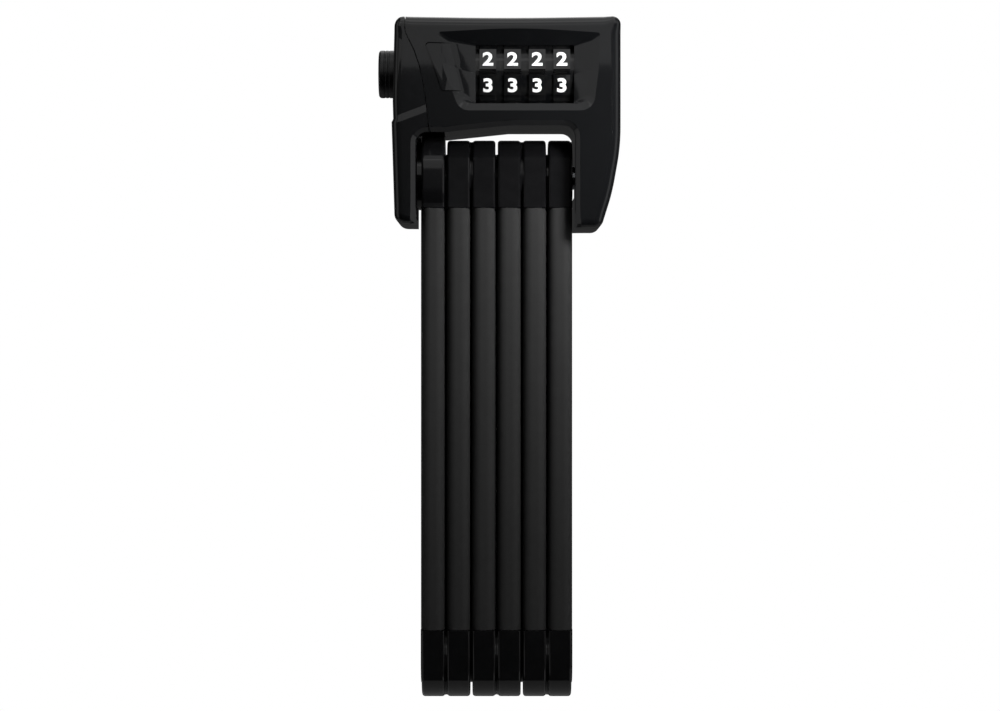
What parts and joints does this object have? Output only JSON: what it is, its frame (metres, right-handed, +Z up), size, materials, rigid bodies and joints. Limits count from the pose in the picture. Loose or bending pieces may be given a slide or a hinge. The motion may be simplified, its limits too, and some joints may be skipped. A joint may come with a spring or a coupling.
{
  "type": "folding bike lock",
  "caption": "Folding bike lock: jacketed steel link bars folded side by side in a U-shaped housing with number dials and a push button.",
  "frame": {"origin": "middle of the folded bar pack in X and Y, at the height of the underside of the housing's right arm, where a frame holder's rim carries the lock", "axes": "+Z up along the folded bars towards the housing, +X towards the right arm and along every hinge and dial axis, -Y the front with the dial window"},
  "size_m": [0.0702, 0.036, 0.1979],
  "materials": {
    "housing_plastic": "satin black moulded plastic",
    "cap_plastic": "smooth satin black plastic",
    "soft_sleeve": "fine-grained soft black sleeve",
    "dial_plastic": "black dials with white numbers",
    "button_plastic": "ribbed black plastic",
    "black_steel": "black coated hardened steel",
    "bright_steel": "ground steel",
    "spring_steel": "spring wire",
    "brass": "turned brass"
  },
  "bodies": {
    "housing": {"lock_frame": "black_steel", "front_cover": "housing_plastic", "back_cover": "housing_plastic", "left_side_cap": "housing_plastic", "window_panel": "housing_plastic", "cover_screw_1": "bright_steel", "cover_screw_2": "bright_steel", "cover_screw_3": "bright_steel", "dial_barrel": "brass", "button_spring": "spring_steel", "bolt_spring": "spring_steel", "detent_spring": "spring_steel", "arm_rivet": "black_steel"},
    "bar_1": {"bar_1_core": "black_steel", "bar_1_sleeve": "soft_sleeve", "bar_1_upper_cap": "cap_plastic", "bar_1_lower_cap": "cap_plastic", "hinge_rivet_1_2": "black_steel"},
    "bar_2": {"bar_2_core": "black_steel", "bar_2_sleeve": "soft_sleeve", "bar_2_upper_cap": "cap_plastic", "bar_2_lower_cap": "cap_plastic", "hinge_rivet_2_3": "black_steel"},
    "bar_3": {"bar_3_core": "black_steel", "bar_3_sleeve": "soft_sleeve", "bar_3_upper_cap": "cap_plastic", "bar_3_lower_cap": "cap_plastic", "hinge_rivet_3_4": "black_steel"},
    "bar_4": {"bar_4_core": "black_steel", "bar_4_sleeve": "soft_sleeve", "bar_4_upper_cap": "cap_plastic", "bar_4_lower_cap": "cap_plastic", "hinge_rivet_4_5": "black_steel"},
    "bar_5": {"bar_5_core": "black_steel", "bar_5_sleeve": "soft_sleeve", "bar_5_upper_cap": "cap_plastic", "bar_5_lower_cap": "cap_plastic", "hinge_rivet_5_6": "black_steel"},
    "bar_6": {"bar_6_core": "black_steel", "bar_6_sleeve": "soft_sleeve", "bar_6_upper_cap": "cap_plastic", "bar_6_lower_cap": "cap_plastic", "locking_stud": "bright_steel"},
    "dial_1": {"dial_1": "dial_plastic", "code_sleeve_1": "brass"},
    "dial_2": {"dial_2": "dial_plastic", "code_sleeve_2": "brass"},
    "dial_3": {"dial_3": "dial_plastic", "code_sleeve_3": "brass"},
    "dial_4": {"dial_4": "dial_plastic", "code_sleeve_4": "brass"},
    "button": {"push_button": "button_plastic", "spindle": "bright_steel", "button_clip": "spring_steel"},
    "bolt": {"locking_bolt": "bright_steel"}
  },
  "joints": [
    {"name": "first_bar_swing", "type": "hinge", "parent": "housing", "child": "bar_1", "pos_m": [0, 0, 0.0155], "axis": [1, 0, 0], "range_deg": [-90, 90]},
    {"name": "fold_1_2", "type": "hinge", "parent": "bar_1", "child": "bar_2", "pos_m": [0, 0, -0.1256], "axis": [1, 0, 0], "range_deg": [-180, 0]},
    {"name": "fold_2_3", "type": "hinge", "parent": "bar_2", "child": "bar_3", "pos_m": [0, 0, 0.0155], "axis": [1, 0, 0], "range_deg": [-90, 0]},
    {"name": "fold_3_4", "type": "hinge", "parent": "bar_3", "child": "bar_4", "pos_m": [0, 0, -0.1256], "axis": [1, 0, 0], "range_deg": [-180, 0]},
    {"name": "fold_4_5", "type": "hinge", "parent": "bar_4", "child": "bar_5", "pos_m": [0, 0, 0.0155], "axis": [1, 0, 0], "range_deg": [-90, 0]},
    {"name": "fold_5_6", "type": "hinge", "parent": "bar_5", "child": "bar_6", "pos_m": [0, 0, -0.1256], "axis": [1, 0, 0], "range_deg": [-180, 0]},
    {"name": "dial_1_turn", "type": "hinge", "parent": "housing", "child": "dial_1", "pos_m": [-0.0025, -0.0029, 0.0457], "axis": [1, 0, 0], "continuous": true},
    {"name": "dial_2_turn", "type": "hinge", "parent": "housing", "child": "dial_2", "pos_m": [0.00462, -0.0029, 0.0457], "axis": [1, 0, 0], "continuous": true},
    {"name": "dial_3_turn", "type": "hinge", "parent": "housing", "child": "dial_3", "pos_m": [0.01174, -0.0029, 0.0457], "axis": [1, 0, 0], "continuous": true},
    {"name": "dial_4_turn", "type": "hinge", "parent": "housing", "child": "dial_4", "pos_m": [0.01886, -0.0029, 0.0457], "axis": [1, 0, 0], "continuous": true},
    {"name": "button_press", "type": "slide", "parent": "housing", "child": "button", "axis": [1, 0, 0], "range_m": [0, 0.0035], "stiffness_N_per_m": 600, "springref_m": -0.001, "deforming": ["button_spring"]},
    {"name": "bolt_drop", "type": "slide", "parent": "housing", "child": "bolt", "axis": [0, 0, -1], "range_m": [0, 0.0035], "stiffness_N_per_m": 60, "springref_m": -0.001, "deforming": ["bolt_spring"]}
  ],
  "couplings": [
    {"joint": "bolt_drop", "follows": "button_press", "ratio": 1}
  ]
}
